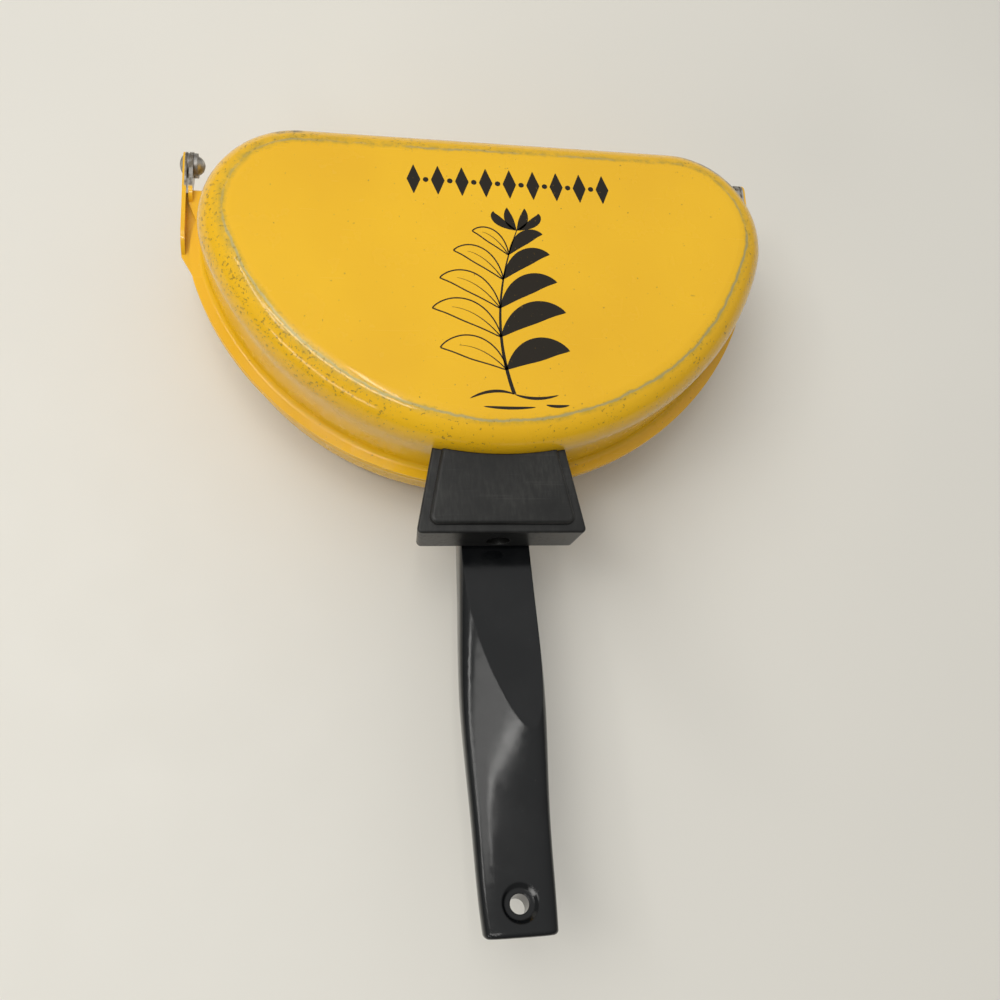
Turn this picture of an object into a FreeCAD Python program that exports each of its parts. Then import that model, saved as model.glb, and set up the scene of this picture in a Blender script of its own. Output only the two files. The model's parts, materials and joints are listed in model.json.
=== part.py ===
import FreeCAD, Part
import math
import os

# Folding omelette pan: two half-moon pans of pressed aluminium sheet, joined
# at the ends of their straight sides by two riveted ears. The lower pan has
# a long handle, the upper pan a short grip. All sizes in millimetres.
# +X runs along the hinge, +Y points from the handle to the hinge, +Z is up.
# The pieces are drawn from the middle of the straight rear wall, then moved so
# that the origin lies on the table, under the middle of the lower pan.

V = FreeCAD.Vector
os.makedirs("parts", exist_ok=True)

# ---- Pan pressings -------------------------------------------------------
pan_half_width = 114.0      # wall outside, middle to side
pan_reach = 132.0           # wall outside, straight side to front
pan_corner_radius = 39.0    # rear corners seen from above
pan_depth = 40.2            # one half, flat base to flange face
sheet = 1.6                 # aluminium thickness
shoulder_radius = 13.0      # base to wall, outside
flange_width = 5.6          # beyond the wall
flange_bend = 2.2           # wall to flange, outside
flange_edge_round = 0.7
flange_gap = 0.6            # between the two flanges when closed

# ---- Hinge ears ----------------------------------------------------------
ear_overhang = 9.0          # outer face of the lower ear beyond the wall
ear_length = 41.5           # lower ear, from the pivot forward
ear_front_rise = 11.0       # length of the curved front end of the lower ear
upper_ear_length = 18.5     # upper ear, from the pivot forward
upper_ear_front_rise = 6.0
ear_lobe_radius = 5.4       # round rear end about the pivot
ear_gap = 0.9               # between the lower ear and the upper ear
ear_floor_end = 12.5        # the floor stops this far in front of the pivot
ear_shoulder_run = 15.0     # slanted floor edge in front of an ear
pivot_behind_wall = 0.9     # pivot line behind the straight wall
pivot_pin_radius = 2.1
pivot_running_gap = 0.06
pivot_head_radius = 4.4
pivot_head_height = 1.8
pivot_washer_radius = 5.0
pivot_washer_thickness = 1.5
pivot_tail_radius = 3.9
pivot_tail_height = 2.8
pivot_side_gap = 0.1

# ---- Long handle ---------------------------------------------------------
handle_start = 9.5          # root end beyond the wall
handle_length = 161.6
handle_root_rise = 4.8      # flat root top above the lower pan's rim
handle_root_slope = 0.17
handle_grip_slope = 0.08    # slope of the grip at the ridge
handle_grip_sweep = 0.0028  # how fast the grip curves up towards the tip
handle_sweep_start = 30.0   # distance beyond the ridge where it begins to curve up
handle_twist = 0.22         # sideways slope of the grip beside the ridge
handle_ridge_reach = 81.0   # ridge middle from the root end
handle_tip_round = 1.6
hanging_hole_radius = 3.4
hanging_hole_inset = 10.9   # hole centre from the tip
hanging_dish_radius = 6.8   # sunk ring around the hole, at the top surface
hanging_dish_floor = 5.2    # radius where its flat floor begins
hanging_dish_depth = 1.5

# ---- Handle bracket and its fasteners ------------------------------------
bracket_thickness = 2.0
bracket_half_width = 15.0
bracket_foot_margin = 2.0   # foot starts this far above the shoulder
tongue_half_width = 7.0
tongue_drop = 6.2           # underside of the tongue below the pan's rim
tongue_length = 38.0        # from the wall outwards
tongue_gap = 0.2
bracket_rivet_radius = 2.5
bracket_rivet_spread = 9.5
bracket_rivet_rise = 8.0    # rivet centres above the foot's lower edge
bracket_rivet_head = 4.6
bracket_rivet_dome = 2.0
handle_screw_radius = 2.0
handle_screw_from_wall = 26.0
handle_screw_head_radius = 3.8
handle_screw_head_height = 2.6
handle_screw_land = 2.4     # plastic between the washer and the tongue
handle_screw_washer = 0.8
screw_clearance = 0.3

# ---- Short grip ----------------------------------------------------------
grip_rise = 9.0             # underside above the hinge level
grip_height = 18.1          # underside to the shelf around the pad
grip_pad_height = 2.2
grip_depth = 30.0           # from the wall at mid-width to the front face
grip_rear_half_width = 26.6
grip_front_half_width = 32.7
grip_draft = 1.4            # how much the underside is narrower, each side
grip_front_lean = 1.6       # how much the underside reaches further forward
grip_pad_margin = 3.8       # shelf beside the pad
grip_pad_front_margin = 3.0 # shelf in front of the pad
grip_pad_edge = 1.5
grip_corner = 1.8           # upright front corners
grip_edge = 1.0
grip_screw_rise = 7.0       # screw above the underside
grip_screw_radius = 2.0
grip_screw_bore = 4.6       # sunk hole in the front face
grip_screw_sink = 9.0
grip_screw_head_radius = 3.9
grip_screw_head_height = 2.6
grip_boss_radius = 4.6
grip_boss_length = 11.0
slot_width = 0.9
slot_depth = 0.9

# ---- Levels and positions that follow ------------------------------------
pivot_level = pan_depth + flange_gap / 2
pan_top = 2 * pivot_level
pivot_y = pivot_behind_wall
ear_outer = pan_half_width + ear_overhang
upper_ear_outer = ear_outer - sheet - ear_gap
pivot_clear_radius = pivot_pin_radius + pivot_running_gap
wall_front = -pan_reach
handle_root = wall_front - handle_start
handle_tip = handle_root - handle_length
handle_screw_y = wall_front - handle_screw_from_wall
front_centre_y = -(
    (pan_half_width - pan_corner_radius) ** 2
    + pan_corner_radius ** 2
    - (pan_reach - pan_corner_radius) ** 2
) / (2 * (2 * pan_corner_radius - pan_reach))
front_radius = pan_reach + front_centre_y
handle_root_top = pan_depth + handle_root_rise
bracket_foot_low = shoulder_radius + bracket_foot_margin
bracket_rivet_level = bracket_foot_low + bracket_rivet_rise
tongue_level = pan_depth - tongue_drop
tongue_top = tongue_level + bracket_thickness
handle_screw_seat = tongue_level - handle_screw_land
grip_low = pivot_level + grip_rise
grip_high = grip_low + grip_height
grip_screw_level = grip_low + grip_screw_rise


def box(x0, x1, y0, y1, z0, z1):
    """Box between two corners."""
    return Part.makeBox(x1 - x0, y1 - y0, z1 - z0, V(x0, y0, z0))


def rod(radius, length, start, direction):
    """Round bar from a start point along a direction."""
    return Part.makeCylinder(radius, length, start, direction)


def polygon_prism(corners, z0, z1):
    """Upright prism over a list of (x, y) corners."""
    points = [V(x, y, z0) for x, y in corners]
    wire = Part.makePolygon(points + [points[0]])
    return Part.Face(wire).extrude(V(0, 0, z1 - z0))


def outline_prism(offset, z0, z1):
    """Upright prism over the half-moon outline, grown by an offset."""
    corner = pan_corner_radius + offset
    front = front_radius + offset
    cx = pan_half_width - pan_corner_radius
    cy = -pan_corner_radius
    reach = math.hypot(cx, cy - front_centre_y)
    ux = cx / reach
    uy = (cy - front_centre_y) / reach
    mid_angle = (math.pi / 2 + math.atan2(uy, ux)) / 2
    mx = cx + corner * math.cos(mid_angle)
    my = cy + corner * math.sin(mid_angle)
    join_x = front * ux
    join_y = front_centre_y + front * uy
    right_rear = V(cx, offset, z0)
    left_rear = V(-cx, offset, z0)
    right_join = V(join_x, join_y, z0)
    left_join = V(-join_x, join_y, z0)
    front_point = V(0, front_centre_y - front, z0)
    edges = [
        Part.LineSegment(left_rear, right_rear).toShape(),
        Part.Arc(right_rear, V(mx, my, z0), right_join).toShape(),
        Part.Arc(right_join, front_point, left_join).toShape(),
        Part.Arc(left_join, V(-mx, my, z0), left_rear).toShape(),
    ]
    return Part.Face(Part.Wire(edges)).extrude(V(0, 0, z1 - z0))


def edges_at_level(shape, z):
    """Edges that lie wholly in one horizontal plane."""
    return [
        e for e in shape.Edges
        if abs(e.BoundBox.ZMin - z) < 1e-4 and abs(e.BoundBox.ZMax - z) < 1e-4
    ]


def outline_edges(shape, offset, z):
    """Edges of the half-moon at one offset from the wall, in one horizontal plane."""
    return [
        e for e in edges_at_level(shape, z)
        if e.BoundBox.YMax < offset + 0.01 and e.BoundBox.YMin > -pan_reach - offset - 0.01
    ]


def pan_pressing():
    """One half-moon pan, base on z = 0, open at the top, no ears yet."""
    outside = outline_prism(0, 0, pan_depth)
    outside = outside.makeFillet(shoulder_radius, edges_at_level(outside, 0))
    flange = outline_prism(flange_width, pan_depth - sheet, pan_depth)
    body = outside.fuse(flange).removeSplitter()
    body = body.makeFillet(flange_bend, outline_edges(body, 0, pan_depth - sheet))
    body = body.makeFillet(flange_edge_round, edges_at_level(body, pan_depth))
    hollow = outline_prism(-sheet, sheet, pan_depth + 5)
    hollow = hollow.makeFillet(shoulder_radius - sheet, edges_at_level(hollow, sheet))
    body = body.cut(hollow)
    body = body.makeFillet(sheet * 0.9, outline_edges(body, -sheet, pan_depth))
    spare = box(-200, 200, pivot_y - ear_floor_end, 60, -5, pan_depth + 5)
    spare = spare.cut(outline_prism(0, -6, pan_depth + 6))
    return body.cut(spare)


def ear_plate(outer_x, length, rise, floor_z, floor_stop):
    """Upright ear on the right side, its round end about the pivot."""
    front = pivot_y - length
    top = pivot_level + ear_lobe_radius
    start = V(outer_x, front, floor_z)
    crest = V(outer_x, front + rise, top)
    bulge = V(outer_x, front + 0.32 * rise, floor_z + 0.68 * (top - floor_z))
    lobe_top = V(outer_x, pivot_y, top)
    lobe_back = V(outer_x, pivot_y + ear_lobe_radius, pivot_level)
    lobe_low = V(outer_x, pivot_y, pivot_level - ear_lobe_radius)
    heel = V(outer_x, pivot_y - floor_stop, floor_z)
    edges = [
        Part.Arc(start, bulge, crest).toShape(),
        Part.LineSegment(crest, lobe_top).toShape(),
        Part.Arc(lobe_top, lobe_back, lobe_low).toShape(),
        Part.LineSegment(lobe_low, heel).toShape(),
        Part.LineSegment(heel, start).toShape(),
    ]
    return Part.Face(Part.Wire(edges)).extrude(V(-sheet, 0, 0))


def ear_floor(outer_x, length, z0, z1):
    """Flange widened at the right rear corner to carry an ear."""
    front = pivot_y - length
    rear = pivot_y - ear_floor_end
    corners = [
        (pan_half_width + 0.5, front - ear_shoulder_run),
        (outer_x, front),
        (outer_x, rear),
        (pan_half_width - 22, rear),
        (pan_half_width - 8, front - ear_shoulder_run),
    ]
    return polygon_prism(corners, z0, z1).cut(outline_prism(-sheet / 2, z0 - 1, z1 + 1))


def mirror_x(shape):
    """Copy on the other side of the middle plane."""
    return shape.mirror(V(0, 0, 0), V(1, 0, 0))


def both_sides(shape):
    """The piece and its mirror image as a list."""
    return [shape, mirror_x(shape)]


def pivot_hole(radius):
    """Cutter through both ears on the pivot line."""
    return rod(radius, 2 * ear_outer + 20, V(-ear_outer - 10, pivot_y, pivot_level), V(1, 0, 0))


# ---- Lower pan -----------------------------------------------------------
floor_low = pan_depth - sheet
lower_ear = ear_plate(ear_outer, ear_length, ear_front_rise, floor_low, ear_floor_end)
lower_ear = lower_ear.fuse(ear_floor(ear_outer, ear_length, floor_low, pan_depth))
lower_pan = pan_pressing()
for ear in both_sides(lower_ear):
    lower_pan = lower_pan.fuse(ear)
lower_pan = lower_pan.cut(pivot_hole(pivot_pin_radius)).removeSplitter()

# ---- Upper pan -----------------------------------------------------------
upper_floor = pivot_level + flange_gap / 2
upper_ear = ear_plate(
    upper_ear_outer, upper_ear_length, upper_ear_front_rise, upper_floor, ear_floor_end - 2
)
upper_ear = upper_ear.fuse(
    ear_floor(upper_ear_outer, upper_ear_length, upper_floor, upper_floor + sheet)
)
upper_pan = pan_pressing().mirror(V(0, 0, pivot_level), V(0, 0, 1))
for ear in both_sides(upper_ear):
    upper_pan = upper_pan.fuse(ear)
upper_pan = upper_pan.cut(pivot_hole(pivot_clear_radius)).removeSplitter()

# ---- Pivot rivets, spacers and washers -----------------------------------
lower_ear_inside = ear_outer - sheet
upper_ear_inside = upper_ear_outer - sheet
washer_outside = upper_ear_inside - pivot_side_gap
washer_inside = washer_outside - pivot_washer_thickness
inward = V(-1, 0, 0)
outward = V(1, 0, 0)


def domed_head(radius, height, centre, direction):
    """Low round rivet head on a flat seat."""
    ball = (radius ** 2 + height ** 2) / (2 * height)
    unit = V(direction).normalize()
    middle = centre - unit * (ball - height)
    sphere = Part.makeSphere(ball, middle)
    return sphere.common(rod(radius * 1.2, height * 1.2, centre, unit))


def pivot_point(x):
    """Point on the pivot line."""
    return V(x, pivot_y, pivot_level)


def pivot_ring(outer_radius, hole_radius, x_outer, thickness):
    """Flat ring on the pivot line."""
    ring = rod(outer_radius, thickness, pivot_point(x_outer), inward)
    return ring.cut(rod(hole_radius, thickness, pivot_point(x_outer), inward))


right_rivet = rod(pivot_pin_radius, ear_outer - washer_inside, pivot_point(ear_outer), inward)
right_rivet = right_rivet.fuse(
    domed_head(pivot_head_radius, pivot_head_height, pivot_point(ear_outer), outward)
)
right_rivet = right_rivet.fuse(
    domed_head(pivot_tail_radius, pivot_tail_height, pivot_point(washer_inside), inward)
)
right_spacer = pivot_ring(
    pivot_washer_radius,
    pivot_pin_radius,
    lower_ear_inside,
    ear_gap - pivot_side_gap,
)
right_washer = pivot_ring(
    pivot_washer_radius,
    pivot_pin_radius,
    washer_outside,
    pivot_washer_thickness,
)

# ---- Handle bracket ------------------------------------------------------
wall_band_inner = outline_prism(0, bracket_foot_low - 5, tongue_top + 5)
wall_band_outer = outline_prism(bracket_thickness, bracket_foot_low - 5, tongue_top + 5)
foot = box(
    -bracket_half_width,
    bracket_half_width,
    wall_front - 10,
    wall_front + 10,
    bracket_foot_low,
    tongue_top,
)
foot = foot.common(wall_band_outer).cut(wall_band_inner)
tongue = box(
    -tongue_half_width,
    tongue_half_width,
    wall_front - tongue_length,
    wall_front + 2,
    tongue_level,
    tongue_top,
)
tongue = tongue.cut(wall_band_inner)
handle_bracket = foot.fuse(tongue)

# ---- Bracket rivets ------------------------------------------------------
rivet_angle = math.degrees(math.asin(bracket_rivet_spread / front_radius))
clamped_sheets = outline_prism(bracket_thickness, 0, pan_depth).cut(outline_prism(-sheet, -1, pan_depth + 1))


def wall_rivet(angle):
    """Shank and whole rivet through wall and bracket foot, square to the curved wall."""
    inside = V(0, wall_front + sheet, bracket_rivet_level)
    outside = V(0, wall_front - bracket_thickness, bracket_rivet_level)
    sunk = V(0, 0.4, 0)
    head_in = domed_head(bracket_rivet_head, bracket_rivet_dome, inside - sunk, V(0, 1, 0))
    head_out = domed_head(bracket_rivet_head, bracket_rivet_dome, outside + sunk, V(0, -1, 0))
    length = sheet + bracket_thickness + 1.2
    shank = rod(bracket_rivet_radius, length, inside + V(0, 0.6, 0), V(0, -1, 0))
    for piece in (head_in, head_out, shank):
        piece.rotate(V(0, front_centre_y, 0), V(0, 0, 1), angle)
    heads = head_in.fuse(head_out).cut(clamped_sheets)
    return shank, heads.fuse(shank)


bracket_rivets = []
for angle in (-rivet_angle, rivet_angle):
    rivet_shank, whole_rivet = wall_rivet(angle)
    bracket_rivets.append(whole_rivet)
    lower_pan = lower_pan.cut(rivet_shank)
    handle_bracket = handle_bracket.cut(rivet_shank)


# ---- Long handle ---------------------------------------------------------
def root_plane_level(y):
    """Height of the flat root top at a place along the handle."""
    return handle_root_top + handle_root_slope * (handle_root - y)


def grip_level(y):
    """Height of the middle of the grip, which meets the root top at the ridge."""
    beyond = handle_root - handle_ridge_reach - y
    ridge = root_plane_level(handle_root - handle_ridge_reach)
    curled = max(0.0, beyond - handle_sweep_start)
    return ridge + handle_grip_slope * beyond + handle_grip_sweep * curled ** 2


def rounded(value, power):
    """Signed power, used to square off an ellipse."""
    return math.copysign(abs(value) ** (2.0 / power), value)


def handle_section(along, half_width, underside, twist):
    """Closed smooth loop across the handle, a distance from the root end."""
    y = handle_root - along
    top = grip_level(y)
    middle = (top + underside) / 2
    half_height = (top - underside) / 2
    points = []
    for step in range(28):
        angle = 2 * math.pi * (step + 0.5) / 28
        across = half_width * rounded(math.cos(angle), 4.0)
        power = 4.0 if math.sin(angle) > 0 else 3.0
        rise = half_height * rounded(math.sin(angle), power)
        lean = twist * across * max(0.0, math.sin(angle))
        points.append(V(across, y, middle + rise + lean))
    curve = Part.BSplineCurve()
    curve.interpolate(points, PeriodicFlag=True)
    return Part.Wire([curve.toShape()])


# share of the handle length, half width, underside from the root top, share of the twist
handle_stations = [
    (0.00, 13.3, -17.5, 1.00),
    (0.17, 14.1, -15.0, 1.00),
    (0.34, 15.2, -9.5, 1.00),
    (0.51, 15.9, -4.0, 0.85),
    (0.68, 14.9, 2.0, 0.40),
    (0.84, 14.0, 8.5, 0.08),
    (1.00, 12.9, 16.0, 0.00),
]
sections = [
    handle_section(share * handle_length, half_width, handle_root_top + low, handle_twist * turn)
    for share, half_width, low, turn in handle_stations
]
long_handle = Part.makeLoft(sections, True, False, False, 3)
tip_rim = [e for e in long_handle.Edges if e.BoundBox.YMax < handle_tip + 0.1]
long_handle = long_handle.makeFillet(handle_tip_round, tip_rim)
root_cutter = Part.makeBox(80, 260, 60, V(-40, -260, 0))
root_cutter.rotate(V(0, 0, 0), V(1, 0, 0), -math.degrees(math.atan(handle_root_slope)))
root_cutter.translate(V(0, handle_root, handle_root_top))
long_handle = long_handle.cut(root_cutter)

hole_y = handle_tip + hanging_hole_inset
hole_beyond = handle_length - hanging_hole_inset - handle_ridge_reach
hole_slope = handle_grip_slope + 2 * handle_grip_sweep * (hole_beyond - handle_sweep_start)
hole_axis = V(0, hole_slope, 1).normalize()
hole_mouth = V(0, hole_y, grip_level(hole_y))
dish_slope = (hanging_dish_radius - hanging_dish_floor) / hanging_dish_depth
dish = Part.makeCone(
    hanging_dish_floor,
    hanging_dish_radius + dish_slope,
    hanging_dish_depth + 1,
    hole_mouth - hole_axis * hanging_dish_depth,
    hole_axis,
)
long_handle = long_handle.cut(dish)
long_handle = long_handle.cut(rod(hanging_hole_radius, 50, hole_mouth - hole_axis * 40, hole_axis))

socket = box(
    -tongue_half_width - tongue_gap,
    tongue_half_width + tongue_gap,
    wall_front - tongue_length - tongue_gap,
    handle_root + 1,
    tongue_level - tongue_gap,
    tongue_top + tongue_gap,
)
long_handle = long_handle.cut(socket)

# ---- Handle screw from below ---------------------------------------------
UP = V(0, 0, 1)
TO_HINGE = V(0, 1, 0)


def slotted_screw(thread_radius, length, head_radius, head_height, seat, direction, slot_across):
    """Screw whose head stands on a seat, its shank running along a direction."""
    shank = rod(thread_radius, length, seat, direction)
    head = rod(head_radius, head_height, seat, -direction)
    face = seat - direction * head_height
    rim = [e for e in head.Edges if abs((e.CenterOfMass - face).dot(direction)) < 1e-3]
    head = head.makeFillet(head_height * 0.4, rim)
    slot_half = slot_width / 2
    long_half = head_radius + 1
    slot_size = slot_across * (2 * slot_half) + (V(1, 1, 1) - slot_across) * (2 * long_half)
    slot = Part.makeBox(slot_size.x, slot_size.y, slot_size.z, face - slot_size / 2)
    keep = rod(head_radius + 2, slot_depth, face, direction)
    head = head.cut(slot.common(keep))
    return shank.fuse(head).removeSplitter()


washer_seat = handle_screw_seat - handle_screw_washer
screw_foot = V(0, handle_screw_y, washer_seat)
handle_screw = slotted_screw(
    handle_screw_radius,
    tongue_top - washer_seat,
    handle_screw_head_radius,
    handle_screw_head_height,
    screw_foot,
    UP,
    V(1, 0, 0),
)
handle_screw_ring = rod(handle_screw_head_radius + 0.6, handle_screw_washer, screw_foot, UP)
handle_screw_ring = handle_screw_ring.cut(
    rod(handle_screw_radius + 0.15, handle_screw_washer, screw_foot, UP)
)
handle_bracket = handle_bracket.cut(handle_screw)
well_radius = handle_screw_head_radius + 0.6 + screw_clearance
well = rod(well_radius, handle_screw_seat, V(0, handle_screw_y, 0), UP)
drill = rod(handle_screw_radius + screw_clearance, 6, V(0, handle_screw_y, handle_screw_seat - 1), UP)
long_handle = long_handle.cut(well).cut(drill)
tip_room = rod(handle_screw_radius + screw_clearance, 2, V(0, handle_screw_y, tongue_top - 1), UP)
long_handle = long_handle.cut(tip_room)


# ---- Short grip ----------------------------------------------------------
def grip_wire(z, narrower, forward):
    """Plan of the grip at one level, its rear well inside the pan."""
    front = wall_front - grip_depth - forward
    slope = (grip_front_half_width - grip_rear_half_width) / grip_depth
    rear = wall_front + 12
    rear_half = grip_rear_half_width - slope * 12 - narrower
    front_half = grip_front_half_width - narrower
    corners = [(-front_half, front), (front_half, front), (rear_half, rear), (-rear_half, rear)]
    points = [V(x, y, z) for x, y in corners]
    return Part.makePolygon(points + [points[0]])


grip_plans = [grip_wire(grip_low, grip_draft, grip_front_lean), grip_wire(grip_high, 0, 0)]
grip_block = Part.makeLoft(grip_plans, True, True)
front_limit = wall_front - grip_depth + 2
upright_corners = [
    e for e in grip_block.Edges
    if e.BoundBox.ZLength > 5 and e.BoundBox.YMax < front_limit
]
grip_block = grip_block.makeFillet(grip_corner, upright_corners)
for level in (grip_high, grip_low):
    grip_block = grip_block.makeFillet(grip_edge, edges_at_level(grip_block, level))
pad_front = wall_front - grip_depth + grip_pad_front_margin
pad_slope = (grip_front_half_width - grip_rear_half_width) / grip_depth
pad_front_half = grip_front_half_width - grip_pad_margin - pad_slope * grip_pad_front_margin
pad_rear_half = grip_rear_half_width - grip_pad_margin - pad_slope * 12
grip_pad = polygon_prism(
    [
        (-pad_front_half, pad_front),
        (pad_front_half, pad_front),
        (pad_rear_half, wall_front + 12),
        (-pad_rear_half, wall_front + 12),
    ],
    grip_high - 1,
    grip_high + grip_pad_height,
)
grip_pad = grip_pad.makeFillet(3.0, [
    e for e in grip_pad.Edges
    if e.BoundBox.ZLength > 1 and e.BoundBox.YMax < pad_front + 1
])
grip_pad = grip_pad.makeFillet(grip_pad_edge, edges_at_level(grip_pad, grip_high + grip_pad_height))
wall_solid = outline_prism(0, grip_low - 5, grip_high + 10)
grip_block = grip_block.fuse(grip_pad).cut(wall_solid).removeSplitter()

# ---- Welded boss and the screw that holds the grip ------------------------
boss_start = V(0, wall_front + 6, grip_screw_level)
grip_boss = rod(grip_boss_radius, grip_boss_length + 6, boss_start, -TO_HINGE).cut(wall_solid)
boss_end = wall_front - grip_boss_length
grip_screw_seat = wall_front - grip_depth + grip_screw_sink
grip_screw = slotted_screw(
    grip_screw_radius,
    boss_end - grip_screw_seat + 8,
    grip_screw_head_radius,
    grip_screw_head_height,
    V(0, grip_screw_seat, grip_screw_level),
    TO_HINGE,
    V(1, 0, 0),
)
grip_boss = grip_boss.cut(grip_screw)
boss_room = rod(grip_boss_radius + screw_clearance, grip_boss_length + 6 + screw_clearance,
                boss_start, -TO_HINGE)
sink_start = V(0, wall_front - grip_depth - 2, grip_screw_level)
sink = rod(grip_screw_bore, grip_screw_sink + 2, sink_start, TO_HINGE)
screw_way = rod(grip_screw_radius + screw_clearance, grip_depth, sink_start, TO_HINGE)
grip_block = grip_block.cut(boss_room).cut(sink).cut(screw_way)

# ---- Write one file per piece --------------------------------------------
pieces = {
    "lower_pan": [lower_pan],
    "upper_pan": [upper_pan],
    "right_hinge_rivet": [right_rivet],
    "left_hinge_rivet": [mirror_x(right_rivet)],
    "right_hinge_spacer": [right_spacer],
    "left_hinge_spacer": [mirror_x(right_spacer)],
    "right_hinge_washer": [right_washer],
    "left_hinge_washer": [mirror_x(right_washer)],
    "handle_bracket": [handle_bracket],
    "bracket_rivets": bracket_rivets,
    "long_handle": [long_handle],
    "handle_screw": [handle_screw],
    "handle_screw_washer": [handle_screw_ring],
    "short_grip": [grip_block],
    "grip_boss": [grip_boss],
    "grip_screw": [grip_screw],
}
to_origin = V(0, pan_reach / 2, 0)
for name, shapes in pieces.items():
    solids = [solid.translated(to_origin) for shape in shapes for solid in shape.Solids]
    whole = solids[0] if len(solids) == 1 else Part.makeCompound(solids)
    whole.exportStep(os.path.join("parts", name + ".step"))
    bounds = whole.optimalBoundingBox(True, False)
    print("%-20s %d solid(s), valid %s, %.1f x %.1f x %.1f mm, z %.1f to %.1f" % (
        name, len(solids), whole.isValid(), bounds.XLength, bounds.YLength, bounds.ZLength,
        bounds.ZMin, bounds.ZMax,
    ))
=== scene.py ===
# %% [markdown]
# # A folding omelette pan
# The real pan is two half-moon pressings of aluminium sheet, enamelled yellow
# outside and left bare inside. Two riveted ears join them at the back. A long
# moulded handle carries the lower half and a short moulded grip lifts the upper
# half. The solid shapes come from the CAD frame. Blender adds the finishes: the
# worn enamel, the scuffed black plastic, the dull metal and the printed sprig.

# %% Load the fixed frame
import json
import math

import bmesh
import bpy
from mathutils import Matrix, Vector


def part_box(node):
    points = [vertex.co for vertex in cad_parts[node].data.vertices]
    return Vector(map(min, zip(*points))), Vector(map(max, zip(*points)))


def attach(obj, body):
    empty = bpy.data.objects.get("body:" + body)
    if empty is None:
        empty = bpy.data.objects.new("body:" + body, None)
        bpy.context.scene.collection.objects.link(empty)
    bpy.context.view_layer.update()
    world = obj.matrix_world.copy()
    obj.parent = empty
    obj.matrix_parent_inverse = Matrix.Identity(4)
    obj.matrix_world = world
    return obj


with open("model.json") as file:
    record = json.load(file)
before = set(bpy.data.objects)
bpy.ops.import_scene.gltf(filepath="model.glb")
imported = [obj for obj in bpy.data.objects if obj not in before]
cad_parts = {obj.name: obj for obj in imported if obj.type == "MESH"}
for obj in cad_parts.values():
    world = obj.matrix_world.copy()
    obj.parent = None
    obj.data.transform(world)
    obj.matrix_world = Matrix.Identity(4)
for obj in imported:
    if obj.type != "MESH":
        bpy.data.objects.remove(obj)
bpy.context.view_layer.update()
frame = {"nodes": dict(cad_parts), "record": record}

nodes = frame["nodes"]


# %% [markdown]
# ## Reading positions from the frame
# Every size here is in metres, in the same space as the CAD model. The hinge
# line lies half way up the closed pan, so the height of the pan gives it. The
# wall of the upper pan gives the half-moon outline that the wear follows. The
# straight rear wall lies half a pan behind the origin.

# %% Positions the finishes need
MM = 0.001
PAN_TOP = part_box("upper_pan")[1][2]
HINGE_LEVEL = PAN_TOP / 2
HALF_WIDTH = 114 * MM
FRONT_REACH = 132 * MM
CORNER_RADIUS = 39 * MM
SHOULDER_RADIUS = 13 * MM
SHEET = 1.6 * MM
corner_x = HALF_WIDTH - CORNER_RADIUS
gap_x = corner_x ** 2 + CORNER_RADIUS ** 2 - (FRONT_REACH - CORNER_RADIUS) ** 2
front_y = -gap_x / (2 * (2 * CORNER_RADIUS - FRONT_REACH))
FRONT_RADIUS = FRONT_REACH + front_y
REAR_WALL = FRONT_REACH / 2
print("hinge level %.4f m, front arc radius %.4f m" % (HINGE_LEVEL, FRONT_RADIUS))


# %% [markdown]
# ## Small tools for shader nodes
# A procedural material is a chain of small sums. Writing each node by hand takes
# four lines, so these helpers add one node, connect or set its inputs, and hand
# back the output. A value that is a number is typed into the socket, and a value
# that is a socket is linked.

# %% Node helpers
def feed(tree, socket, value):
    """Link a socket to another socket, or type in a plain value."""
    if isinstance(value, bpy.types.NodeSocket):
        tree.links.new(value, socket)
    else:
        socket.default_value = value


def add(tree, kind, **settings):
    """Add a node and set its options."""
    node = tree.nodes.new(kind)
    for name, value in settings.items():
        setattr(node, name, value)
    return node


def calc(tree, operation, *values):
    """One step of arithmetic."""
    node = add(tree, "ShaderNodeMath", operation=operation)
    for socket, value in zip(node.inputs, values):
        feed(tree, socket, value)
    return node.outputs[0]


def fade(tree, value, start, end, low=0.0, high=1.0):
    """Turn a value into a clamped slope between two limits."""
    node = add(tree, "ShaderNodeMapRange", clamp=True)
    for name, number in (("Value", value), ("From Min", start), ("From Max", end),
                         ("To Min", low), ("To Max", high)):
        feed(tree, node.inputs[name], number)
    return node.outputs["Result"]


# %% [markdown]
# The `Mix` node keeps three sets of sockets with the same names, one for numbers,
# one for vectors and one for colours. The next cell picks the colour set by its
# type, and adds the noise and cell textures that most finishes start from.

# %% Texture helpers
def tint(tree, factor, first, second):
    """Mix two colours by a mask."""
    node = add(tree, "ShaderNodeMix", data_type="RGBA")
    colour_inputs = [s for s in node.inputs if s.type == "RGBA"]
    feed(tree, node.inputs[0], factor)
    feed(tree, colour_inputs[0], first)
    feed(tree, colour_inputs[1], second)
    return [s for s in node.outputs if s.type == "RGBA"][0]


def noise(tree, where, scale, detail=3.0, roughness=0.5):
    """Soft cloudy noise from 0 to 1."""
    node = add(tree, "ShaderNodeTexNoise")
    feed(tree, node.inputs["Vector"], where)
    node.inputs["Scale"].default_value = scale
    node.inputs["Detail"].default_value = detail
    node.inputs["Roughness"].default_value = roughness
    return node.outputs["Fac"]


def stretch(tree, where, scale, turn=0.0):
    """Scale and turn the coordinates, for streaks and scratches."""
    node = add(tree, "ShaderNodeMapping")
    feed(tree, node.inputs["Vector"], where)
    node.inputs["Scale"].default_value = scale
    node.inputs["Rotation"].default_value = (0.0, 0.0, turn)
    return node.outputs["Vector"]


def rgba(red, green, blue):
    """A colour socket wants four numbers."""
    return (red, green, blue, 1.0)


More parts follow.
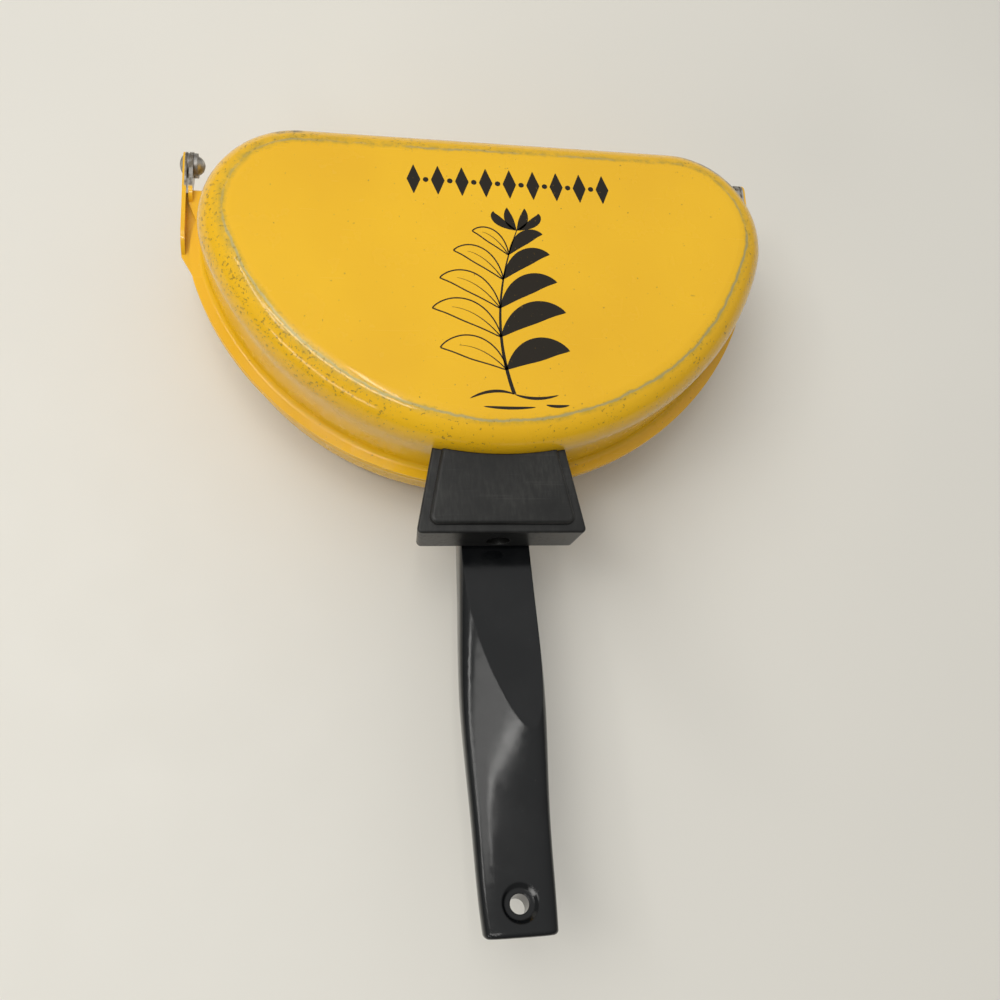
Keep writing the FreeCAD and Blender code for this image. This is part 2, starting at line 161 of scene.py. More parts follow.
# %% [markdown]
# ## Shared effects as node groups
# Fine scratches show on the enamel, on the handle and on the grip, so they are
# one node group. Each scratch set is noise pulled out very long in one
# direction, and only its thin peaks are kept. Three directions are laid over each
# other. The group puts out one mask, and each material decides what it does.

# %% Group: fine scratches
def start_group(name, inputs, outputs):
    """An empty node group with named float or vector sockets."""
    tree = bpy.data.node_groups.new(name, "ShaderNodeTree")
    for socket_name, kind in inputs:
        tree.interface.new_socket(name=socket_name, in_out="INPUT", socket_type=kind)
    for socket_name, kind in outputs:
        tree.interface.new_socket(name=socket_name, in_out="OUTPUT", socket_type=kind)
    return tree, add(tree, "NodeGroupInput"), add(tree, "NodeGroupOutput")


FLOAT = "NodeSocketFloat"
VECTOR = "NodeSocketVector"


def build_scratches():
    """Mask of thin straight scratches in three directions."""
    tree, inside, outside = start_group(
        "Fine scratches", [("Vector", VECTOR), ("Amount", FLOAT)], [("Mask", FLOAT)]
    )
    total = None
    for turn, density in ((0.35, 900.0), (1.25, 700.0), (2.3, 820.0)):
        streaks = stretch(tree, inside.outputs["Vector"], (0.03, 1.0, 1.0), turn)
        lines = noise(tree, streaks, density, 1.0)
        eased = calc(tree, "MULTIPLY", inside.outputs["Amount"], 0.12)
        threshold = calc(tree, "SUBTRACT", 0.78, eased)
        mask = fade(tree, calc(tree, "SUBTRACT", lines, threshold), 0.0, 0.05)
        patches = fade(tree, noise(tree, inside.outputs["Vector"], 40.0 + 17 * turn), 0.45, 0.6)
        mask = calc(tree, "MULTIPLY", mask, patches)
        total = mask if total is None else calc(tree, "MAXIMUM", total, mask)
    tree.links.new(total, outside.inputs["Mask"])
    return tree


SCRATCHES = build_scratches()


# %% [markdown]
# Grime is the second shared effect. Dirt gathers in uneven patches, so it is two
# sizes of noise multiplied together. It darkens the hinge metal, the bare inside
# of the pans and the screws.

# %% Group: grime
def build_grime():
    """Mask of uneven dirt in large and small patches."""
    tree, inside, outside = start_group(
        "Grime", [("Vector", VECTOR), ("Amount", FLOAT)], [("Mask", FLOAT)]
    )
    where = inside.outputs["Vector"]
    broad = fade(tree, noise(tree, where, 60.0, 4.0), 0.35, 0.65)
    small = fade(tree, noise(tree, where, 420.0, 5.0, 0.65), 0.4, 0.62)
    both = calc(tree, "ADD", calc(tree, "MULTIPLY", broad, 0.6),
                calc(tree, "MULTIPLY", small, 0.55))
    mask = add(tree, "ShaderNodeMath", operation="MULTIPLY", use_clamp=True)
    feed(tree, mask.inputs[0], both)
    feed(tree, mask.inputs[1], inside.outputs["Amount"])
    tree.links.new(mask.outputs[0], outside.inputs["Mask"])
    return tree


GRIME = build_grime()


def use_group(tree, group, where, amount):
    """Place a shared effect in a material."""
    node = add(tree, "ShaderNodeGroup", node_tree=group)
    feed(tree, node.inputs["Vector"], where)
    feed(tree, node.inputs["Amount"], amount)
    return node.outputs["Mask"]


# %% [markdown]
# ## Distance from the edge of the half-moon
# The worn ring on the flat face follows the outline of the pan about a
# centimetre inside the wall. A painter would mask it with tape. Here a group
# measures how far any point lies inside the outline, from the same straight
# line and arcs that the press tool has, and rings and bands are cut from that.

# %% Group: inset from the outline
def build_inset():
    """Distance inside the half-moon outline, negative outside it."""
    tree, inside, outside = start_group(
        "Half-moon inset", [("Vector", VECTOR)], [("Inset", FLOAT)]
    )
    split = add(tree, "ShaderNodeSeparateXYZ")
    tree.links.new(inside.outputs["Vector"], split.inputs[0])
    across = calc(tree, "ABSOLUTE", split.outputs["X"])
    along = split.outputs["Y"]

    def reach(x0, y0):
        dx = calc(tree, "SUBTRACT", across, x0)
        dy = calc(tree, "SUBTRACT", along, y0)
        squares = calc(tree, "ADD", calc(tree, "MULTIPLY", dx, dx), calc(tree, "MULTIPLY", dy, dy))
        return dx, dy, calc(tree, "SQRT", squares)

    front = calc(tree, "SUBTRACT", FRONT_RADIUS, reach(0.0, front_y)[2])
    rear = calc(tree, "MULTIPLY", along, -1.0)
    dx, dy, corner_reach = reach(corner_x, -CORNER_RADIUS)
    corner = calc(tree, "SUBTRACT", CORNER_RADIUS, corner_reach)
    turn_a = calc(tree, "MULTIPLY", dy, corner_x)
    turn_b = calc(tree, "MULTIPLY", dx, -CORNER_RADIUS - front_y)
    beyond_join = calc(tree, "GREATER_THAN", calc(tree, "SUBTRACT", turn_a, turn_b), 0.0)
    beyond_corner = calc(tree, "GREATER_THAN", dx, 0.0)
    in_corner = calc(tree, "MULTIPLY", beyond_join, beyond_corner)
    plain = calc(tree, "MINIMUM", front, rear)
    change = calc(tree, "MULTIPLY", calc(tree, "SUBTRACT", corner, plain), in_corner)
    tree.links.new(calc(tree, "ADD", plain, change), outside.inputs["Inset"])
    return tree


INSET = build_inset()
print("node groups:", [g.name for g in bpy.data.node_groups])


# %% [markdown]
# ## Starting a material
# Every finish starts the same way: an empty material with one Principled shader,
# read in the object's own coordinates so that the wear moves with the part when
# the pan opens. Numbers that are the same all over are typed on the shader.

# %% Material starter
def start_material(name, **constants):
    """A new material, its tree, its shader and its object coordinates."""
    material = bpy.data.materials.new(name)
    material.use_nodes = True
    tree = material.node_tree
    shader = next(n for n in tree.nodes if n.type == "BSDF_PRINCIPLED")
    for socket_name, value in constants.items():
        shader.inputs[socket_name.replace("_", " ")].default_value = value
    place = add(tree, "ShaderNodeTexCoord").outputs["Object"]
    return material, tree, shader, place


def bump(tree, shader, height, strength, distance, edge=0.0):
    """Send a height mask to the shader as fine relief, over softened edges."""
    node = add(tree, "ShaderNodeBump")
    node.inputs["Strength"].default_value = strength
    node.inputs["Distance"].default_value = distance
    feed(tree, node.inputs["Height"], height)
    if edge:
        soft = add(tree, "ShaderNodeBevel", samples=6)
        soft.inputs["Radius"].default_value = edge
        tree.links.new(soft.outputs["Normal"], node.inputs["Normal"])
    tree.links.new(node.outputs["Normal"], shader.inputs["Normal"])


# %% [markdown]
# ## Yellow enamel
# The outside of both pans is stove enamel: glossy, slightly uneven, rubbed down
# to metal in a ring where the flat face meets the shoulder, and pitted on the
# shoulder. The inside and the meeting faces of the flanges are bare aluminium.
# One material covers all of it, because masks built from position say which
# surface is which: how far in from the wall, and how far below the outer skin.
# Positions are counted from the middle of the rear wall, as on a drawing.

# %% Enamel: where things are
enamel, et, enamel_shader, middle_spot = start_material(
    "yellow_enamel", Coat_Weight=0.45, Coat_Roughness=0.06
)
enamel_shader.inputs["Specular IOR Level"].default_value = 0.28
from_rear = add(et, "ShaderNodeVectorMath", operation="SUBTRACT")
et.links.new(middle_spot, from_rear.inputs[0])
from_rear.inputs[1].default_value = (0.0, REAR_WALL, 0.0)
spot = from_rear.outputs[0]
place_split = add(et, "ShaderNodeSeparateXYZ")
et.links.new(spot, place_split.inputs[0])
spot_x, spot_y, spot_z = (place_split.outputs[k] for k in "XYZ")
inset_node = add(et, "ShaderNodeGroup", node_tree=INSET)
et.links.new(spot, inset_node.inputs["Vector"])
inset = inset_node.outputs["Inset"]
rise = calc(et, "ABSOLUTE", calc(et, "SUBTRACT", spot_z, HINGE_LEVEL))
over_x = calc(et, "MAXIMUM", calc(et, "SUBTRACT", SHOULDER_RADIUS, inset), 0.0)
over_z = calc(et, "MAXIMUM", calc(et, "SUBTRACT", rise, HINGE_LEVEL - SHOULDER_RADIUS), 0.0)
skin_reach = calc(et, "SQRT", calc(et, "ADD", calc(et, "MULTIPLY", over_x, over_x),
                                   calc(et, "MULTIPLY", over_z, over_z)))
skin_depth = calc(et, "SUBTRACT", SHOULDER_RADIUS, skin_reach)
print("enamel skin masks ready")

# %% [markdown]
# The bare places are the inside (deeper than half the sheet), the meeting faces
# of the flanges (next to the hinge level, outside the mouth) and the rubbed inner
# faces of the ears about the rivets. Each is a soft step, and the largest wins.

# %% Enamel: bare places
MEETING_OUTER_EDGE = -5.2 * MM
EAR_BARE_FROM = -12.0 * MM
EAR_INNER_SIDE = 113.5 * MM
EAR_OUTER_SIDE = 122.4 * MM
inside_mask = fade(et, skin_depth, 0.4 * SHEET, 0.6 * SHEET)
meeting = calc(et, "MULTIPLY", fade(et, rise, 0.75 * MM, 0.55 * MM),
               fade(et, inset, 1.4 * MM, 1.0 * MM))
meeting = calc(et, "MULTIPLY", meeting, fade(et, inset, MEETING_OUTER_EDGE, MEETING_OUTER_EDGE + 0.8 * MM))
side = calc(et, "ABSOLUTE", spot_x)
ears_bare = fade(et, spot_y, EAR_BARE_FROM, EAR_BARE_FROM + 1.0 * MM)
ears_bare = calc(et, "MULTIPLY", ears_bare, fade(et, side, EAR_INNER_SIDE, EAR_INNER_SIDE + 1.0 * MM))
ears_bare = calc(et, "MULTIPLY", ears_bare, fade(et, side, EAR_OUTER_SIDE, EAR_OUTER_SIDE - 0.4 * MM))
bare = calc(et, "MAXIMUM", calc(et, "MAXIMUM", inside_mask, meeting), ears_bare)

# %% [markdown]
# The worn ring wanders a little, so noise shifts the inset before the band is
# cut. Its strength changes along the outline, the bright metal line sits in the
# middle, and an olive stain spreads to each side where enamel is thin, further on
# the outer side than on the flat.

# %% Enamel: worn ring
RING_INSET = 9.7 * MM
STAIN_LEFT, STAIN_RIGHT = 4.0 * MM, 2.3 * MM
INNER_STAIN_SHRINK = 1.9
wander = calc(et, "MULTIPLY", calc(et, "SUBTRACT", noise(et, spot, 30.0, 3.0), 0.5), 3.0 * MM)
ripple = calc(et, "MULTIPLY", calc(et, "SUBTRACT", noise(et, spot, 260.0, 4.0), 0.5), 1.6 * MM)
worn_inset = calc(et, "ADD", inset, calc(et, "ADD", wander, ripple))
past_ring = calc(et, "SUBTRACT", worn_inset, RING_INSET)
from_ring = calc(et, "ABSOLUTE", past_ring)
up_high = fade(et, rise, HINGE_LEVEL - 4 * MM, HINGE_LEVEL - 2 * MM)
on_skin = fade(et, skin_depth, 0.5 * SHEET, 0.3 * SHEET)
ring_zone = calc(et, "MULTIPLY", up_high, on_skin)
to_front = fade(et, spot_y, -30 * MM, -85 * MM, 0.0, 0.35)
patchy = fade(et, calc(et, "ADD", noise(et, spot, 55.0, 4.0, 0.6), to_front), 0.42, 0.62)
ring_line = calc(et, "MULTIPLY", fade(et, from_ring, 0.65 * MM, 0.2 * MM), patchy)
ring_line = calc(et, "MULTIPLY", ring_line, ring_zone)
stain_noise = fade(et, noise(et, spot, 330.0, 5.0, 0.7), 0.33, 0.62)
stain_width = fade(et, spot_x, -10 * MM, -85 * MM, STAIN_RIGHT, STAIN_LEFT)
stain_side = calc(et, "MAXIMUM", calc(et, "MULTIPLY", past_ring, INNER_STAIN_SHRINK), from_ring)
stain_reach = fade(et, calc(et, "DIVIDE", stain_side, stain_width), 1.0, 0.15)
ring_stain = calc(et, "MULTIPLY", stain_reach, stain_noise)
ring_stain = calc(et, "MULTIPLY", ring_stain, ring_zone)
print("worn ring %.1f mm inside the wall" % (RING_INSET / MM))

# %% [markdown]
# Pits are small chips through the enamel, far too many to place one by one. Fine
# noise has peaks of the right size, so only its highest peaks are kept. Lowering
# the cut-off lets more through, and it is lowest on the left shoulder, which has
# been knocked most.

# %% Enamel: pits and scrapes
left_bias = fade(et, spot_x, 10 * MM, -95 * MM, 0.4, 0.9)
cluster = fade(et, noise(et, spot, 60.0, 3.0), 0.38, 0.62, -0.25, 0.3)
density = calc(et, "ADD", left_bias, cluster)
cut_off = fade(et, density, 0.0, 1.0, 0.685, 0.575)
fine_peaks = noise(et, spot, 820.0, 3.0, 0.62)
pit_dot = fade(et, calc(et, "SUBTRACT", fine_peaks, cut_off), 0.0, 0.035)
shoulder_zone = calc(et, "MULTIPLY", fade(et, inset, 12.5 * MM, 9.5 * MM),
                     fade(et, rise, 27 * MM, 31 * MM))
shoulder_zone = calc(et, "MULTIPLY", shoulder_zone, on_skin)
pits = calc(et, "MULTIPLY", pit_dot, shoulder_zone)
few_specks = fade(et, noise(et, spot, 620.0, 2.0, 0.5), 0.735, 0.755)
pits = calc(et, "MAXIMUM", pits, calc(et, "MULTIPLY", few_specks, on_skin))


def scrape(centre, size, low, high):
    """A rubbed patch on the upper pan's shoulder, dark where metal shows."""
    dx = calc(et, "DIVIDE", calc(et, "SUBTRACT", spot_x, centre[0]), size[0])
    dy = calc(et, "DIVIDE", calc(et, "SUBTRACT", spot_y, centre[1]), size[1])
    squares = calc(et, "ADD", calc(et, "MULTIPLY", dx, dx), calc(et, "MULTIPLY", dy, dy))
    spread = calc(et, "SQRT", squares)
    patch = fade(et, spread, 1.0, 0.45)
    band = calc(et, "MULTIPLY", fade(et, inset, low - 1 * MM, low),
                fade(et, inset, high + 1 * MM, high))
    rough_edge = fade(et, noise(et, spot, 170.0, 5.0, 0.7), 0.40, 0.52)
    upper_only = calc(et, "GREATER_THAN", spot_z, HINGE_LEVEL)
    result = calc(et, "MULTIPLY", calc(et, "MULTIPLY", patch, band),
                  calc(et, "MULTIPLY", rough_edge, upper_only))
    return calc(et, "MULTIPLY", result, on_skin)


right_scrape = scrape((94 * MM, -13 * MM), (22 * MM, 17 * MM), 1.0 * MM, 4.5 * MM)
left_scrape = scrape((-80 * MM, -3 * MM), (7 * MM, 6 * MM), 1.0 * MM, 5.0 * MM)
scrapes = calc(et, "MAXIMUM", right_scrape, left_scrape)

# %% [markdown]
# Now the masks choose colours. Each mix lays one layer over the last: enamel,
# stain, bare line, pits, scrapes and last the unpainted metal. The same masks
# set how metallic and how rough each place is, so a chip looks dull as well as
# dark.

# %% Enamel: colour, gloss and relief
ENAMEL_YELLOW = rgba(0.84, 0.485, 0.008)
ENAMEL_DEEP = rgba(0.77, 0.425, 0.007)
STAIN_GREEN = rgba(0.37, 0.27, 0.03)
LINE_METAL = rgba(0.44, 0.37, 0.15)
PIT_BROWN = rgba(0.30, 0.185, 0.010)
SCRAPE_DARK = rgba(0.075, 0.080, 0.060)
BARE_METAL = rgba(0.62, 0.61, 0.58)
DIRTY_METAL = rgba(0.20, 0.17, 0.13)
drift = fade(et, noise(et, spot, 14.0, 3.0), 0.3, 0.7)
colour = tint(et, drift, ENAMEL_YELLOW, ENAMEL_DEEP)
colour = tint(et, calc(et, "MULTIPLY", ring_stain, 0.75), colour, STAIN_GREEN)
colour = tint(et, ring_line, colour, LINE_METAL)
colour = tint(et, calc(et, "MULTIPLY", pits, 0.85), colour, PIT_BROWN)
colour = tint(et, calc(et, "MULTIPLY", scrapes, 0.9), colour, SCRAPE_DARK)
dirt = use_group(et, GRIME, spot, fade(et, ears_bare, 0.0, 1.0, 0.45, 1.3))
metal_colour = tint(et, dirt, BARE_METAL, DIRTY_METAL)
colour = tint(et, bare, colour, metal_colour)
et.links.new(colour, enamel_shader.inputs["Base Color"])
metallic = calc(et, "MAXIMUM", calc(et, "MULTIPLY", ring_line, 0.3),
                calc(et, "MULTIPLY", bare, 0.9))
et.links.new(metallic, enamel_shader.inputs["Metallic"])
marks = use_group(et, SCRATCHES, spot, 0.4)
gloss = fade(et, noise(et, spot, 90.0, 4.0), 0.3, 0.7, 0.20, 0.30)
gloss = calc(et, "ADD", gloss, calc(et, "MULTIPLY", marks, 0.12))
worn = calc(et, "MAXIMUM", calc(et, "MAXIMUM", ring_line, pits), calc(et, "MAXIMUM", scrapes, bare))
gloss = calc(et, "ADD", gloss, calc(et, "MULTIPLY", worn, 0.20))
et.links.new(gloss, enamel_shader.inputs["Roughness"])
peel = calc(et, "MULTIPLY", noise(et, spot, 480.0, 2.0), 0.25)
hollows = calc(et, "MAXIMUM", calc(et, "MAXIMUM", calc(et, "MULTIPLY", pits, 0.5), scrapes),
               calc(et, "MULTIPLY", ring_line, 0.6))
bump(et, enamel_shader, calc(et, "SUBTRACT", peel, hollows), 0.5, 0.00008)
print("enamel has", len(et.nodes), "nodes")


# %% [markdown]
# ## Black moulded plastic
# Both grips are phenolic plastic. The long handle kept its polish, so its
# roughness stays low and only smudges and a few scratches change it. The short
# grip has been rubbed to a satin, with pale scuffs across the pad.

# %% Handle and grip plastic
handle_black, ht, shader, place = start_material("polished_black_handle", Specular_IOR_Level=0.46)
smudge = noise(ht, place, 38.0, 4.0, 0.6)
lines = use_group(ht, SCRATCHES, place, 0.5)
dust = fade(ht, noise(ht, place, 1500.0, 2.0), 0.72, 0.80)
colour = tint(ht, fade(ht, smudge, 0.4, 0.7), rgba(0.0025, 0.003, 0.0035), rgba(0.006, 0.0065, 0.007))
colour = tint(ht, calc(ht, "MULTIPLY", dust, 0.20), colour, rgba(0.14, 0.13, 0.12))
ht.links.new(colour, shader.inputs["Base Color"])
gloss = fade(ht, smudge, 0.35, 0.7, 0.13, 0.24)
gloss = calc(ht, "ADD", gloss, calc(ht, "MULTIPLY", lines, 0.06))
ht.links.new(gloss, shader.inputs["Roughness"])
bump(ht, shader, noise(ht, place, 220.0, 2.0), 0.25, 0.00012, 0.9 * MM)

grip_black, gt, shader, place = start_material("scuffed_black_grip", Specular_IOR_Level=0.42)
scuff_zone = fade(gt, noise(gt, place, 48.0, 4.0, 0.6), 0.42, 0.66)
grain = fade(gt, noise(gt, stretch(gt, place, (1.0, 0.22, 1.0), 0.6), 700.0, 4.0, 0.7), 0.42, 0.68)
scuffs = calc(gt, "MULTIPLY", scuff_zone, grain)
lines = use_group(gt, SCRATCHES, place, 1.0)
colour = tint(gt, scuff_zone, rgba(0.007, 0.007, 0.0066), rgba(0.012, 0.012, 0.011))
colour = tint(gt, calc(gt, "MULTIPLY", scuffs, 0.15), colour, rgba(0.10, 0.10, 0.09))
colour = tint(gt, calc(gt, "MULTIPLY", lines, 0.04), colour, rgba(0.16, 0.16, 0.15))
gt.links.new(colour, shader.inputs["Base Color"])
gt.links.new(fade(gt, scuffs, 0.0, 1.0, 0.30, 0.48), shader.inputs["Roughness"])
relief = calc(gt, "ADD", noise(gt, place, 900.0, 3.0), calc(gt, "MULTIPLY", lines, -0.1))
bump(gt, shader, relief, 0.4, 0.00006, 0.5 * MM)


# %% [markdown]
# ## Dull metal
# Rivets are soft aluminium, the bracket and washers are plated steel, and the
# screw in the grip has rusted. They share one recipe with different colours, so
# a function makes all three.

# %% Metals
def dull_metal(name, clean, dirty, amount, roughness):
    """Metal with grime in patches, fine scratches and a little relief."""
    material, tree, shader, place = start_material(name, Metallic=0.9)
    dirt = use_group(tree, GRIME, place, amount)
    tree.links.new(tint(tree, dirt, clean, dirty), shader.inputs["Base Color"])
    lines = use_group(tree, SCRATCHES, place, 0.8)
    rough = fade(tree, dirt, 0.0, 1.0, roughness, roughness + 0.3)
    rough = calc(tree, "ADD", rough, calc(tree, "MULTIPLY", lines, 0.1))
    tree.links.new(rough, shader.inputs["Roughness"])
    bump(tree, shader, calc(tree, "SUBTRACT", noise(tree, place, 1300.0, 3.0), lines), 0.4, 0.00008)
    return material


rivet_metal = dull_metal("stained_aluminium", rgba(0.60, 0.58, 0.54), rgba(0.10, 0.08, 0.06), 0.9, 0.35)
plated_steel = dull_metal("dull_plated_steel", rgba(0.46, 0.45, 0.43), rgba(0.13, 0.10, 0.07), 0.8, 0.38)
rusty_steel = dull_metal("rusted_screw", rgba(0.22, 0.12, 0.06), rgba(0.07, 0.03, 0.012), 1.0, 0.55)

finishes = {
    "yellow_enamel": enamel,
    "black_handle_plastic": handle_black,
    "black_grip_plastic": grip_black,
    "hinge_metal": rivet_metal,
    "steel": plated_steel,
    "screw_steel": rusty_steel,
}
for piece in frame["record"]["subparts"]:
    for holder in nodes[piece["node"]].material_slots:
        holder.material = finishes[piece["material_slot"]]


# %% [markdown]
# ## The printed sprig
# The face of the upper pan carries a black print. It is drawn here as a plain
# leafy sprig under a row of lozenges. Ink is a film, so each mark is a flat ribbon
# a few hundredths of a millimetre thick: a centre line with a width that changes
# along it. A leaf is a ribbon that swells, a line is one that stays thin.

# %% Ribbons of ink
INK_BASE = PAN_TOP - 0.01 * MM
INK_FACE = PAN_TOP + 0.03 * MM


def curve_points(start, middle, end, steps=26):
    """Points along a smooth bend, in millimetres."""
    points = []
    for step in range(steps + 1):
        t = step / steps
        a, b, c = (1 - t) ** 2, 2 * t * (1 - t), t * t
        points.append(Vector((a * start[0] + b * middle[0] + c * end[0],
                              a * start[1] + b * middle[1] + c * end[1])))
    return points


def ribbon(mesh, points, width_at):
    """Add one closed thin ribbon along the points."""
    rows = []
    last = len(points) - 1
    for number, point in enumerate(points):
        ahead = points[min(number + 1, last)] - points[max(number - 1, 0)]
        side = Vector((-ahead.y, ahead.x)).normalized() * max(width_at(number / last), 0.04) / 2
        corners = [point + side, point - side]
        low = [mesh.verts.new((p.x * MM, p.y * MM + REAR_WALL, INK_BASE)) for p in corners]
        high = [mesh.verts.new((p.x * MM, p.y * MM + REAR_WALL, INK_FACE)) for p in corners]
        rows.append(low + high)
    for a, b in zip(rows, rows[1:]):
        mesh.faces.new((a[2], a[3], b[3], b[2]))
        mesh.faces.new((a[1], a[0], b[0], b[1]))
        mesh.faces.new((a[0], a[2], b[2], b[0]))
        mesh.faces.new((a[3], a[1], b[1], b[3]))
    for a in (rows[0], rows[-1]):
        mesh.faces.new((a[0], a[1], a[3], a[2]))


def even(width):
    """A line that stays the same width."""
    return lambda t: width


def swelling(width, power=0.8):
    """A leaf: narrow at both ends, widest in the middle."""
    return lambda t: width * math.sin(math.pi * t) ** power


def tapering(width):
    """A line that thins towards its end."""
    return lambda t: width * (1 - 0.75 * t)


# %% [markdown]
# The sprig has one bent stem and pairs of leaves that shrink upwards. Leaves on
# one side are solid and leaves on the other are outlined with a rib, so the print
# has both heavy and light marks.

# %% Draw the print
def outlined_leaf(mesh, start, middle, end, width):
    """Two edge lines and a rib instead of a solid leaf."""
    centre = curve_points(start, middle, end)
    for sign in (-1, 1):
        edge = []
        for number, point in enumerate(centre):
            ahead = centre[min(number + 1, len(centre) - 1)] - centre[max(number - 1, 0)]
            side = Vector((-ahead.y, ahead.x)).normalized()
            edge.append(point + side * sign * swelling(width)(number / (len(centre) - 1)) / 2)
        ribbon(mesh, edge, even(0.55))
    ribbon(mesh, centre[:20], tapering(0.5))


sprig = bmesh.new()
stem = curve_points((4, -112), (-6, -80), (8, -44), 40)
ribbon(sprig, stem, tapering(1.5))
leaf_rows = ((0.16, 25, 9.5), (0.34, 26, 9.0), (0.52, 23, 8.2), (0.70, 19, 7.0), (0.86, 14, 5.6))
for place_on_stem, length, width in leaf_rows:
    root = stem[round(place_on_stem * 40)]
    lean = 0.25 + 0.5 * place_on_stem
    for sign, solid in ((1, True), (-1, False)):
        tip = (root.x + sign * length, root.y + length * lean)
        mid = (root.x + sign * length * 0.45, root.y + length * (lean + 0.35) * 0.75)
        if solid:
            ribbon(sprig, curve_points(root, mid, tip), swelling(width))
        else:
            outlined_leaf(sprig, root, mid, tip, width)
top = stem[-1]
for spread in (-9, -3.5, 3.5, 9):
    tip = (top.x + spread, top.y + 11 - abs(spread) * 0.35)
    mid = (top.x + spread * 1.1, top.y + 4)
    ribbon(sprig, curve_points(top, mid, tip), swelling(3.6))
ground_lines = (
    ((-13, -114), (-4, -109), (4, -112)),
    ((4, -112), (12, -115), (21, -112)),
    ((-8, -117), (2, -118), (12, -117)),
    ((16, -116), (20, -117), (25, -116)),
)
for start, middle, end in ground_lines:
    ribbon(sprig, curve_points(start, middle, end), swelling(1.2, 0.5))

ROW_LEFT, ROW_RIGHT, ROW_LEVEL = -32, 44, -24
LOZENGES = 9
LOZENGE_HEIGHT, LOZENGE_WIDTH = 12.4, 5.2
DOT_SIZE = 2.2


def lozenge_width(t):
    """Straight sides out to the middle and back."""
    return LOZENGE_WIDTH * (1 - abs(2 * t - 1)) + 0.2


def dot_width(t):
    """The width of a circle on the way across it."""
    return DOT_SIZE * math.sqrt(max(0.0, 1 - (2 * t - 1) ** 2))


def upright(x, height, steps):
    """Points up a short line through the row."""
    return [Vector((x, ROW_LEVEL - height / 2 + height * k / steps)) for k in range(steps + 1)]


row_step = (ROW_RIGHT - ROW_LEFT) / (LOZENGES - 1)
for number in range(LOZENGES):
    x = ROW_LEFT + row_step * number
    ribbon(sprig, upright(x, LOZENGE_HEIGHT, 12), lozenge_width)
    if number < LOZENGES - 1:
        ribbon(sprig, upright(x + row_step / 2, DOT_SIZE, 10), dot_width)
bmesh.ops.recalc_face_normals(sprig, faces=sprig.faces)
print_mesh = bpy.data.meshes.new("printed_sprig")
sprig.to_mesh(print_mesh)
sprig.free()
printed_sprig = bpy.data.objects.new("printed_sprig", print_mesh)
bpy.context.scene.collection.objects.link(printed_sprig)
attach(printed_sprig, "upper_half")

ink, it, shader, place = start_material("black_ink", Specular_IOR_Level=0.3)
rubbed = fade(it, noise(it, place, 650.0, 5.0, 0.7), 0.66, 0.72)
ink_colour = tint(it, rubbed, rgba(0.014, 0.010, 0.005), rgba(0.30, 0.18, 0.015))
it.links.new(ink_colour, shader.inputs["Base Color"])
it.links.new(fade(it, noise(it, place, 120.0), 0.3, 0.7, 0.36, 0.5), shader.inputs["Roughness"])
bump(it, shader, noise(it, place, 900.0, 2.0), 0.3, 0.00004)
print_mesh.materials.append(ink)
print("print has", len(print_mesh.polygons), "faces")


# %% [markdown]
# ## Floor, light and camera
# The pan lies on a plain pale floor. A pale world does most of the lighting, as
# in a bright kitchen, so shadows stay soft. One large light behind on the left
# gives them a direction. The narrow lights are there to be reflected: two draw
# the bright streaks along the rounded shoulder and the flange, and three small
# ones draw the facet and the ridge of the glossy handle.

# %% Stage and lights
floor_mesh = bpy.data.meshes.new("floor")
FLOOR_HALF_SIDE = 3.0
corners = [(x * FLOOR_HALF_SIDE, y * FLOOR_HALF_SIDE, 0)
           for x, y in ((-1, -1), (1, -1), (1, 1), (-1, 1))]
floor_mesh.from_pydata(corners, [], [(0, 1, 2, 3)])
floor = bpy.data.objects.new("floor", floor_mesh)
bpy.context.scene.collection.objects.link(floor)
floor_paint, ft, shader, place = start_material("pale_floor")
shade = fade(ft, noise(ft, place, 3.0, 3.0), 0.3, 0.7)
floor_colour = tint(ft, shade, rgba(0.74, 0.72, 0.66), rgba(0.71, 0.69, 0.635))
ft.links.new(floor_colour, shader.inputs["Base Color"])
ft.links.new(fade(ft, noise(ft, place, 40.0), 0.3, 0.7, 0.5, 0.62), shader.inputs["Roughness"])
floor_mesh.materials.append(floor_paint)


def area_light(name, place, along, size, power, seen=True):
    """A rectangular light that faces the pan, its long side along a direction."""
    data = bpy.data.lights.new(name, "AREA")
    data.shape = "RECTANGLE"
    data.size, data.size_y = size
    data.energy = power
    data.color = (1.0, 0.985, 0.955)
    light = bpy.data.objects.new(name, data)
    away = Vector(place).normalized()
    side = (Vector(along) - away * Vector(along).dot(away)).normalized()
    turn = Matrix((side, away.cross(side), away)).transposed()
    light.matrix_world = Matrix.Translation(place) @ turn.to_4x4()
    light.visible_glossy = seen
    bpy.context.scene.collection.objects.link(light)


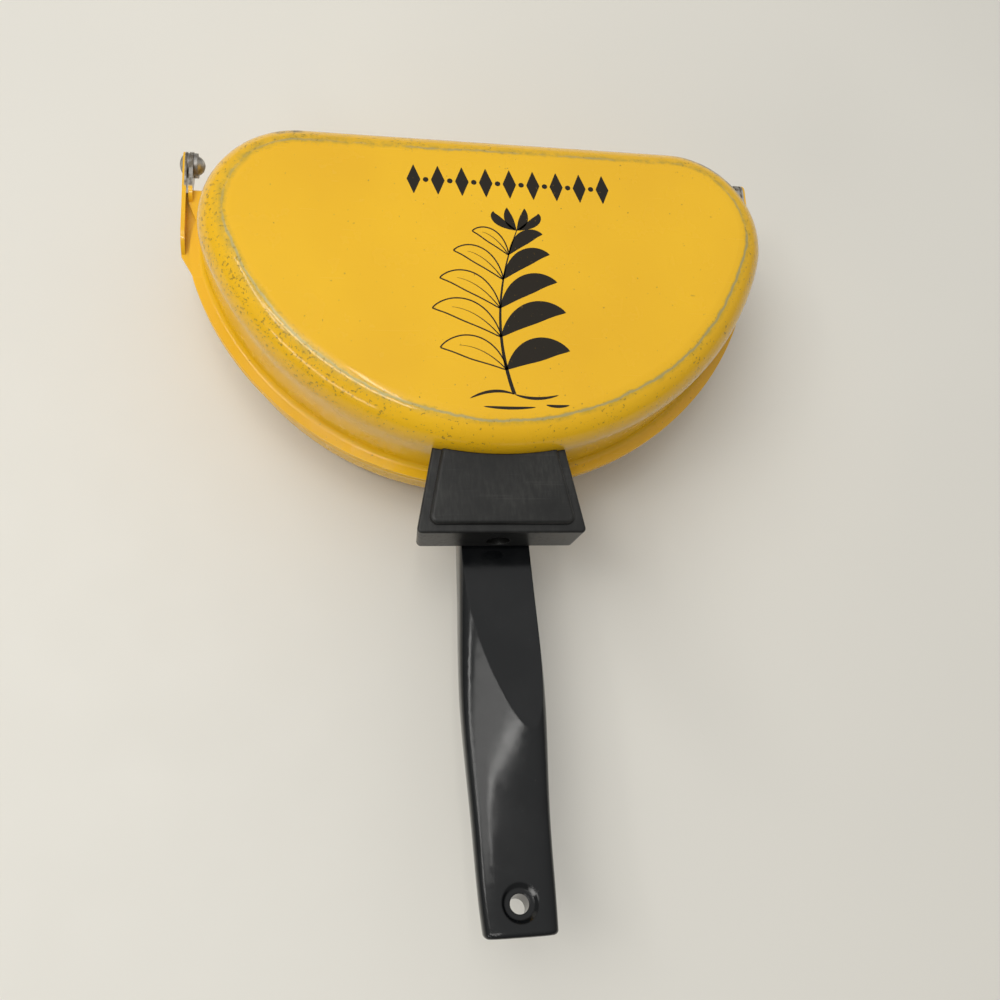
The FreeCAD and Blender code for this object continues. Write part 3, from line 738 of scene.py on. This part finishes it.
# Name, place, direction of the long side, length and width, watts.
area_light("key", (-0.65, 0.50, 1.5), (1, 0.9, 0), (1.2, 1.2), 8.8, seen=False)
area_light("shoulder_streak", (-0.50, -0.21, 1.34), (0.67, -0.56, 0), (0.85, 0.10), 3.2)
area_light("low_streak", (-1.1, -0.9, 0.75), (0.63, -0.77, 0), (1.0, 0.14), 3.0)
area_light("facet_glow", (-0.42, 0.12, 1.33), (1, 0, 0), (0.42, 0.30), 0.9)
area_light("edge_glow", (-0.82, 0.06, 1.10), (0, 1, 0), (0.45, 0.10), 1.1)
area_light("ridge_glow", (-0.13, 0.06, 1.42), (0, 1, 0), (0.36, 0.05), 0.9)

# %% [markdown]
# The world is a smooth sky made from its own direction: bright overhead and
# behind the pan, dimmer near the horizon and in front. That falling light is what
# makes the rounded shoulder darker than the flat face.

# %% World
world = bpy.data.worlds.new("pale_world")
world.use_nodes = True
wt = world.node_tree
sky_split = add(wt, "ShaderNodeSeparateXYZ")
wt.links.new(add(wt, "ShaderNodeTexCoord").outputs["Generated"], sky_split.inputs[0])
upward = fade(wt, sky_split.outputs["Z"], 0.0, 0.95, 0.20, 0.62)
backward = fade(wt, sky_split.outputs["Y"], -0.7, 0.7, 0.64, 1.28)
wt.links.new(calc(wt, "MULTIPLY", upward, backward), wt.nodes["Background"].inputs["Strength"])
wt.nodes["Background"].inputs["Color"].default_value = rgba(0.97, 0.97, 0.96)
bpy.context.scene.world = world
bpy.context.scene.view_settings.view_transform = "Standard"

# %% [markdown]
# The camera looks down steeply from the front left, turned so that the handle
# points down the frame. Its place is given from the point it looks at: a heading,
# a height angle, a distance and a roll about its own line of sight.

# %% Camera
AIM = Vector((-0.0033, -0.0869, 0.081))
HEADING = math.radians(-36.88)
HEIGHT = math.radians(72.27)
ROLL = math.radians(35.73)
DISTANCE = 0.3726
level = math.cos(HEIGHT)
back = Vector((math.sin(HEADING) * level, -math.cos(HEADING) * level, math.sin(HEIGHT)))
camera_data = bpy.data.cameras.new("camera")
camera_data.sensor_width = 36.0
camera_data.lens = 36.9
camera_data.clip_start = 0.01
camera = bpy.data.objects.new("camera", camera_data)
camera.location = AIM + back * DISTANCE
turn = (-back).to_track_quat("-Z", "Y").to_matrix() @ Matrix.Rotation(ROLL, 3, "Z")
camera.rotation_euler = turn.to_euler()
bpy.context.scene.collection.objects.link(camera)
bpy.context.scene.camera = camera

# %% [markdown]
# ## Sizes as plain numbers
# A small helper turns a box of corner points into plain numbers. The finished
# model has to stay inside the CAD box.

# %% Boxes as plain numbers
def plain(box):
    """Nested corner lists as ordinary numbers."""
    return [[float(v) for v in corner] for corner in box]
